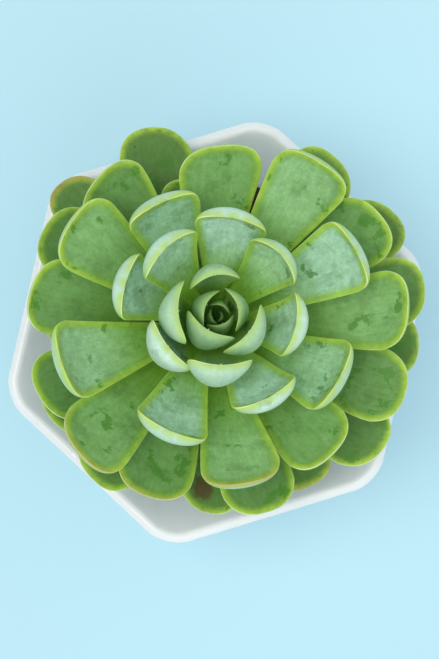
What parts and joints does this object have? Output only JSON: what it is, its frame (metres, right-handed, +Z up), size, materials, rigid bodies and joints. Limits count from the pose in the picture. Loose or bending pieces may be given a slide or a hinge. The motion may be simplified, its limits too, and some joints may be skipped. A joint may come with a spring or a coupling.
{
  "type": "potted succulent",
  "caption": "Rosette succulent with thick blunt leaves on a short stem, growing in a tapered hexagonal glazed bowl with drain holes.",
  "frame": {"origin": "middle of the pot's flat base", "axes": "+Z up out of the pot, +Y towards the back, +X towards the right"},
  "size_m": [0.1068, 0.1084, 0.0932],
  "materials": {
    "glaze": "white glaze, glossy on the rim, unglazed foot edge",
    "mix": "dark damp potting mix with grit",
    "stem": "dry brown stem with leaf scars",
    "leaf": "fleshy blue-green leaf under a pale waxy bloom, yellow-green edge"
  },
  "bodies": {
    "root": {"pot": "glaze", "potting_mix": "mix", "stem": "stem", "leaf_01": "leaf", "leaf_02": "leaf", "leaf_03": "leaf", "leaf_04": "leaf", "leaf_05": "leaf", "leaf_06": "leaf", "leaf_07": "leaf", "leaf_08": "leaf", "leaf_09": "leaf", "leaf_10": "leaf", "leaf_11": "leaf", "leaf_12": "leaf", "leaf_13": "leaf", "leaf_14": "leaf", "leaf_15": "leaf", "leaf_16": "leaf", "leaf_17": "leaf", "leaf_18": "leaf", "leaf_19": "leaf", "leaf_20": "leaf", "leaf_21": "leaf", "leaf_22": "leaf", "leaf_23": "leaf", "leaf_24": "leaf", "leaf_25": "leaf", "leaf_26": "leaf", "leaf_27": "leaf", "leaf_28": "leaf", "leaf_29": "leaf", "leaf_30": "leaf", "leaf_31": "leaf", "leaf_32": "leaf", "leaf_33": "leaf", "leaf_34": "leaf", "leaf_35": "leaf", "leaf_36": "leaf", "leaf_37": "leaf", "leaf_38": "leaf", "leaf_39": "leaf", "leaf_40": "leaf", "leaf_41": "leaf", "leaf_42": "leaf", "leaf_43": "leaf", "leaf_44": "leaf", "leaf_46": "leaf", "leaf_47": "leaf", "leaf_48": "leaf", "leaf_49": "leaf", "leaf_51": "leaf", "leaf_53": "leaf", "leaf_55": "leaf"}
  },
  "joints": []
}
